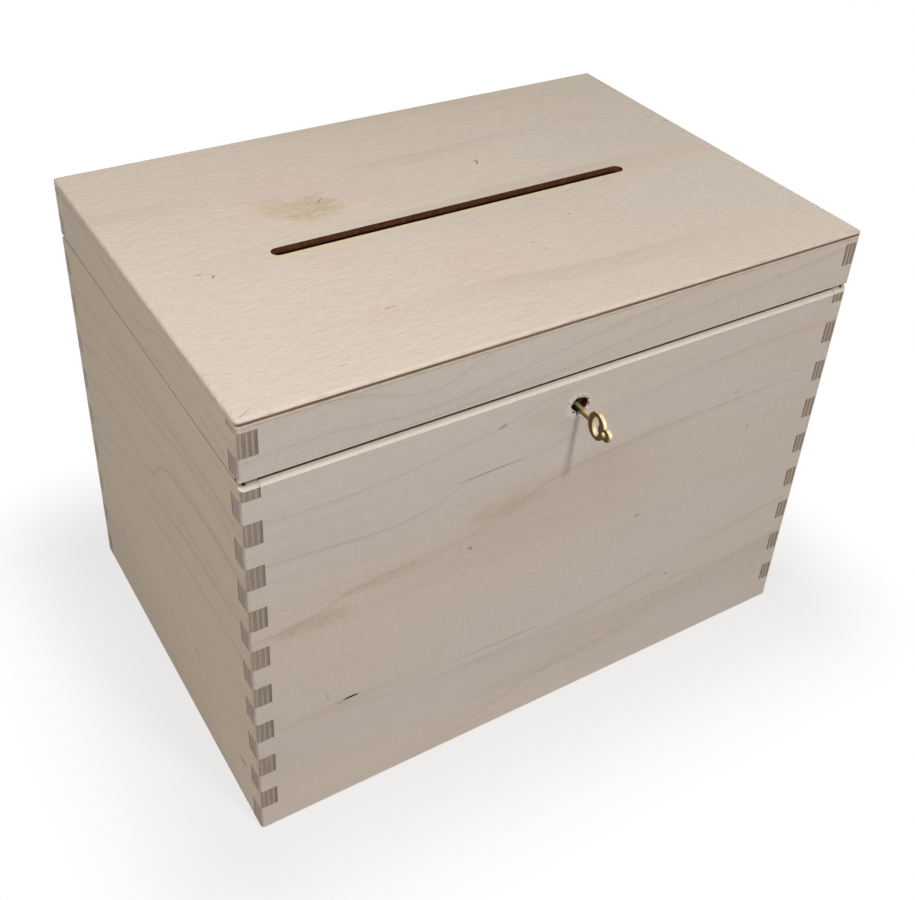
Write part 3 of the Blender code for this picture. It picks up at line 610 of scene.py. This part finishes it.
# What the boards of one side share
fore = {
    **birch, "axes": (0, 2, 1), "outer": -halfDepth, "rings": 9.0, "swing": 0.9,
    "endGrain": (0.66, 0.56, 0.48), "edgeGrain": (0.72, 0.61, 0.53),
    "glueStrength": 0.3, "shine": 0.0,
}
rear = {
    **birch, "axes": (0, 2, 1), "outer": halfDepth,
    "endGrain": (0.68, 0.57, 0.46), "edgeGrain": (0.71, 0.60, 0.48), "glueStrength": 0.15,
}
left = {
    **birch, "axes": (1, 2, 0), "outer": -halfWidth, "swing": 2.2, "lineStrength": (0.3, 0.34),
}
right = {
    **birch, "axes": (1, 2, 0), "outer": halfWidth, "tone": (1.0, 0.98, 0.94),
    "endGrain": (0.37, 0.295, 0.235), "edgeGrain": (0.62, 0.505, 0.41), "glueStrength": 0.75,
}
sheet = {**birch, "thickness": 4 * mm, "plies": 3}

# Each board's own look, by its node
boards = {
    "front_panel": {
        **fore, "name": "birch_front", "seed": 1.3, "tone": (1.0, 1.0, 1.045),
        "lines": frontLines, "marks": frontMarks, "stains": frontStains, "over": keyholeRim,
    },
    "back_panel": {**rear, "name": "birch_back", "seed": 21.7},
    "left_panel": {
        **left, "name": "birch_left", "seed": 35.1, "tone": (1.06, 0.98, 0.87), "rings": 34.0,
        "chamferShade": 0.4, "rimPaleAndLight": 0.2,
        "lines": leftLines, "marks": leftMarks, "stains": leftStains,
    },
    "right_panel": {**right, "name": "birch_right", "seed": 47.9},
    "bottom_panel": {**sheet, "name": "birch_bottom", "seed": 52.4, "tone": (0.97, 0.96, 0.93)},
    "lid_front_rail": {
        **fore, "name": "birch_lid_front", "seed": 61.6, "tone": (0.99, 1.0, 1.04),
        "lines": lidFrontLines,
    },
    "lid_back_rail": {**rear, "name": "birch_lid_back", "seed": 66.6},
    "lid_left_rail": {
        **left, "name": "birch_lid_left", "seed": 71.2, "tone": (1.06, 0.98, 0.88),
        "rings": 30.0, "lines": lidLeftLines,
    },
    "lid_right_rail": {**right, "name": "birch_lid_right", "seed": 77.3},
    "lid_top_panel": {
        **sheet, "name": "birch_lid_top", "seed": 83.5, "tone": (1.0, 0.99, 0.97),
        "outer": lidTop, "rings": 16.0, "swing": 1.6, "streaks": 0.03,
        "cool": (0.80, 0.705, 0.615), "warm": (0.805, 0.70, 0.595),
        "endGrain": (0.25, 0.165, 0.13), "endShare": 0.1, "edgeGrain": (0.84, 0.70, 0.55),
        "glueStrength": 0.1, "joint": 0.0, "nap": 0.085, "fibreDepth": 0.07 * mm, "ripple": 11.0,
        "marks": topMarks, "stains": topStains, "over": slotRim,
    },
}

for name, look in boards.items():
    dress(name, Board(look).complete())
print("plywood finished")

# Torn veneer that reaches into the keyhole
splinters = {
    "points": 260,
    "back": 0.05 * mm,  # how far behind the board's face it lies
    "inset": 0.02 * mm,  # how far its rim stands off the hole's wall
    "thick": 0.4 * mm,
    "least": 0.1 * mm,  # how far it reaches into the hole between the tears
    "under": 0.8,  # the tip's back edge reaches this share of its front edge's reach
    "tipBack": 0.15,  # the tip's front edge bends back by this share of the reach
    "root": 0.3,  # the rim is thicker than the rest by this share of the reach
    "tears": [  # direction and spread in degrees, then depth
        (76, 42, 1.7 * mm), (222, 20, 0.7 * mm), (158, 14, 0.35 * mm), (305, 10, 0.3 * mm),
    ],
    "teeth": ((37, 1.0), (16, 2.2)),  # waves in a turn and where each begins, in radians
    "jagged": 0.28,
    "fibre": (0.84, 0.76, 0.68),
}


def tearVeneer(look):
    # The reach inwards is a bell for each tear, over a least reach, times a jagged factor: one
    # less its strength, plus its strength times the product of two sines
    angle = np.linspace(0, 2 * np.pi, look["points"], endpoint=False)
    reach = np.full(angle.shape, look["least"])
    for middle, spread, depth in look["tears"]:
        turn = (np.degrees(angle) - middle + 180) % 360 - 180
        reach += depth * np.exp(-((turn / spread) ** 2))
    teeth = np.prod([np.sin(waves * angle + begin) for waves, begin in look["teeth"]], axis=0)
    reach *= 1 - look["jagged"] + look["jagged"] * teeth
    # Each profile runs front rim, front tip, back tip, back rim; the tip curls inwards a little
    rim = np.full(angle.shape, keyhole["radius"] - look["inset"])
    radius = np.stack([rim, rim - reach, rim - look["under"] * reach, rim], axis=1)
    back = np.full(angle.shape, look["thick"])
    root = back + look["root"] * reach
    depth = np.stack([0 * reach, look["tipBack"] * reach, back, root], axis=1)
    corners = np.stack([
        radius * np.cos(angle)[:, None],
        depth - halfDepth + look["back"],
        radius * np.sin(angle)[:, None] + keyhole["height"],
    ], axis=2)
    # A face joins each side of a profile to the same side of the next one
    here = np.arange(look["points"])[:, None] * 4 + np.arange(4)
    after = np.roll(here, -1, axis=0)
    faces = np.stack([here, np.roll(here, -1, axis=1), np.roll(after, -1, axis=1), after], axis=2)
    mesh = bpy.data.meshes.new("keyhole_splinters")
    mesh.from_pydata(corners.reshape(-1, 3).tolist(), [], faces.reshape(-1, 4).tolist())
    tip = mesh.attributes.new("tip", "FLOAT", "POINT")
    tip.data.foreach_set("value", np.tile([0.0, 1.0, 1.0, 0.0], look["points"]))
    piece = bpy.data.objects.new("keyhole_splinters", mesh)
    scene.collection.objects.link(piece)
    mesh.materials.append(tornFinish(look))
    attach(piece, "case")


# Pale fibres, charred at their tips
def tornFinish(look):
    f = Finish("birch_torn")
    place = f.places()
    tipped = f.wire(f.add("Attribute", {"attribute_name": "tip"}), "Fac")
    charred = f.rise(tipped + f.noise(place, (1500, 900, 1500), 3.0) * 0.5, 1.0, 1.35)
    frays = f.noise(place, (2500, 900, 2500), 6.0)
    colour = f.blend(charred * 0.85, look["fibre"], keyhole["holeDark"])
    return f.complete({
        "Base Color": f.scaled(colour, 0.75 + frays * 0.5),
        "Roughness": 0.7,
        "Normal": f.bump(frays, 0.08 * mm),
    })


tearVeneer(splinters)
print("torn veneer made")

# Brass and steel: brushed is the scratches' waves per metre in X, Y and Z
brass = {
    "colour": (0.56, 0.41, 0.18), "tarnish": (0.30, 0.20, 0.08), "tarnished": 0.5, "film": 0.25,
    "roughness": 0.28, "scratch": 0.012 * mm, "litFacing": None, "holeShaded": False,
}
steel = {
    "colour": (0.50, 0.50, 0.51), "tarnish": (0.26, 0.25, 0.24), "tarnished": 0.45, "film": 0.0,
    "roughness": 0.32, "scratch": 0.012 * mm, "litFacing": None, "holeShaded": False,
}
metals = {
    "leaf": {**brass, "name": "brass_rolled", "brushed": (60, 1400, 1400), "seed": 3.1},
    "screw": {**brass, "name": "brass_turned", "brushed": (700, 700, 700), "seed": 8.4},
    "key": {
        **brass, "name": "brass_cast", "brushed": (500, 300, 500), "seed": 5.6,
        "colour": (0.33, 0.215, 0.075), "tarnish": (0.17, 0.10, 0.03), "film": 0.15,
        "roughness": 0.22, "litFacing": (0.45, -0.3, 0.75),  # the side painted bright as painted light, with painted shade beneath
        "litBrass": (0.90, 0.76, 0.48), "shadedBrass": (0.07, 0.040, 0.010),
    },
    "bolt": {**steel, "name": "steel_drawn", "brushed": (50, 1600, 1600), "seed": 2.7},
    "plate": {
        **steel, "name": "steel_rolled", "brushed": (50, 1600, 1600), "seed": 4.9,
        "holeShaded": True,
    },
}
holeShade = {"colour": (0.048, 0.024, 0.012), "reach": 9 * mm}  # painted shade, dark brown, on the lock steel round the keyhole


def metal(look):
    f = Finish(look["name"])
    place, facing = f.places(), f.facings()
    seed = look["seed"]
    scratches = f.noise(place, look["brushed"], seed + 2.0)
    cloud = f.rise(f.noise(place, (120, 120, 120), seed, 3.0), 0.35, 0.8)
    spots = f.rise(f.noise(place, (900, 900, 900), seed + 4.0), 0.62, 0.75)
    tarnished = cloud * look["tarnished"] + spots * 0.3
    colour = f.blend(tarnished, look["colour"], look["tarnish"])
    rough = look["roughness"] + tarnished * 0.25 + (scratches - 0.5) * 0.16
    shine = 1.0 - look["film"] * (0.6 + tarnished * 0.8)
    # Painted light: the key is painted bright where it faces up, right and to the front, and dark
    # where it faces away, as painted shade
    if look["litFacing"]:
        a, b, c = (part * share for part, share in zip(facing, look["litFacing"]))
        upward = a + b + c
        litShare = f.rise(upward, -0.05, 0.6)
        colour = f.blend(litShare, colour, look["litBrass"])
        colour = f.blend(f.fall(upward, -0.7, -0.1), colour, look["shadedBrass"])
        shine = shine - litShare * 0.3
    # Painted shade: near the keyhole's axis the lock steel is painted dark brown, rough and
    # unmetallic, as it lies in shade behind the hole
    if look["holeShaded"]:
        away = f.distance(place[0], place[2] - keyhole["height"])
        holeShaded = f.fall(away, holeShade["reach"] * 0.7, holeShade["reach"])
        colour = f.blend(holeShaded, colour, holeShade["colour"])
        rough = rough + holeShaded * 0.35
        shine = shine * (1 - holeShaded)
    return f.complete({
        "Base Color": colour, "Metallic": shine, "Roughness": rough,
        "Normal": f.bump(scratches, look["scratch"]),
    })


def metalOf(name):
    if name == "key":
        return "key"
    if name.startswith(("left_hinge", "right_hinge", "link")):
        return "screw" if "screw" in name else "leaf"
    return "plate" if name in ("lock_plate", "lock_cap") else "bolt"


shades = {kind: metal(look) for kind, look in metals.items()}
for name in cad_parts:
    if name not in boards:
        dress(name, shades[metalOf(name)])
print("metal finished")

# The floor is pale where the object's shadow falls and white further off
room = {
    "floor": (0.62, 0.61, 0.60),
    "reach": 6.0,
    "below": 0.3 * mm,
    "clear": (0.0, 0.10),  # the distances from the box over which it clears to white
    "leastWhite": 0.72,
    "roughness": 0.8,
    "shine": 0.2,
    "sky": 0.02,
}
white = (1, 1, 1, 1)
lamps = [
    {"name": "high_light", "place": (0.115, -0.97, 1.52), "aim": (0, -0.1, 0.2),
     "size": 0.16, "power": 9.3, "colour": (1.0, 0.99, 0.975)},
    {"name": "near_light", "place": (-0.35, -0.2, 0.86), "aim": (0, 0, 0.15),
     "size": 0.35, "power": 2.45, "colour": (1.0, 0.98, 0.95)},
    {"name": "left_light", "place": (-1.6, -0.7, 0.74), "aim": (0, 0, 0.15),
     "size": 1.2, "power": 3.2, "colour": (1.0, 0.985, 0.97)},
    {"name": "rear_light", "place": (1.75, 0.9, 0.4), "aim": (0, 0, 0.12),
     "size": 0.8, "power": 8.0, "colour": (1.0, 0.99, 0.975)},
    {"name": "front_light", "place": (0.57, -1.71, 0.7), "aim": (0, 0, 0.15),
     "size": 1.2, "power": 4.15, "colour": (1.0, 0.99, 0.965)},
]


# 1 for what the camera sees, itself or in a mirror or glass; 0 for what only lights a surface
def seenDirectly(f):
    path = f.add("LightPath")
    direct, glossy, through = (
        f.wire(path, "Is " + kind + " Ray") for kind in ("Camera", "Glossy", "Transmission")
    )
    return f.least(direct + glossy + through, 1.0)


def layFloor(look):
    mesh = bpy.data.meshes.new("floor")
    r, z = look["reach"], -look["below"]
    mesh.from_pydata([(-r, -r, z), (r, -r, z), (r, r, z), (-r, r, z)], [], [(0, 1, 2, 3)])
    floor = bpy.data.objects.new("floor", mesh)
    scene.collection.objects.link(floor)
    f = Finish("floor_pale")
    place = f.places()
    aside, ahead = (
        f.most(abs(way) - half, 0.0) for way, half in zip(place, (halfWidth, halfDepth))
    )
    clearing = f.rise(f.distance(aside, ahead), *look["clear"])
    clear = clearing * (1 - look["leastWhite"]) + look["leastWhite"]
    grain = f.noise(place, (300, 300, 300), 1.0)
    shader = f.add("BsdfPrincipled", None, {
        "Base Color": f.scaled(look["floor"], 0.97 + grain * 0.06),
        "Roughness": look["roughness"],
        "Specular IOR Level": look["shine"],
    })
    glow = f.add("Emission", None, {"Color": white, "Strength": 1.0})
    factor = seenDirectly(f) * clear
    mixed = f.add("MixShader", None, {0: factor, 1: f.wire(shader), 2: f.wire(glow)})
    f.add("OutputMaterial", None, {"Surface": f.wire(mixed)})
    mesh.materials.append(f.material)


def hangSky(look):
    world = bpy.data.worlds.new("studio")
    scene.world = world
    world.use_nodes = True
    f = Finish(tree=world.node_tree)
    soft, plain = (
        f.wire(f.add("Background", None, {"Color": white, "Strength": strength}))
        for strength in (look["sky"], 1.0)
    )
    mixed = f.add("MixShader", None, {0: seenDirectly(f), 1: soft, 2: plain})
    f.add("OutputWorld", None, {"Surface": f.wire(mixed)})


def hangLamp(look):
    data = bpy.data.lights.new(look["name"], "AREA")
    data.shape = "SQUARE"
    data.size = look["size"]
    data.energy = look["power"]
    data.color = look["colour"]
    lamp = bpy.data.objects.new(look["name"], data)
    lamp.location = look["place"]
    direction = Vector(look["aim"]) - Vector(look["place"])
    lamp.rotation_euler = direction.to_track_quat("-Z", "Y").to_euler()
    lamp.visible_camera = False
    scene.collection.objects.link(lamp)


layFloor(room)
hangSky(room)
for lamp in lamps:
    hangLamp(lamp)
print("floor and lamps set")
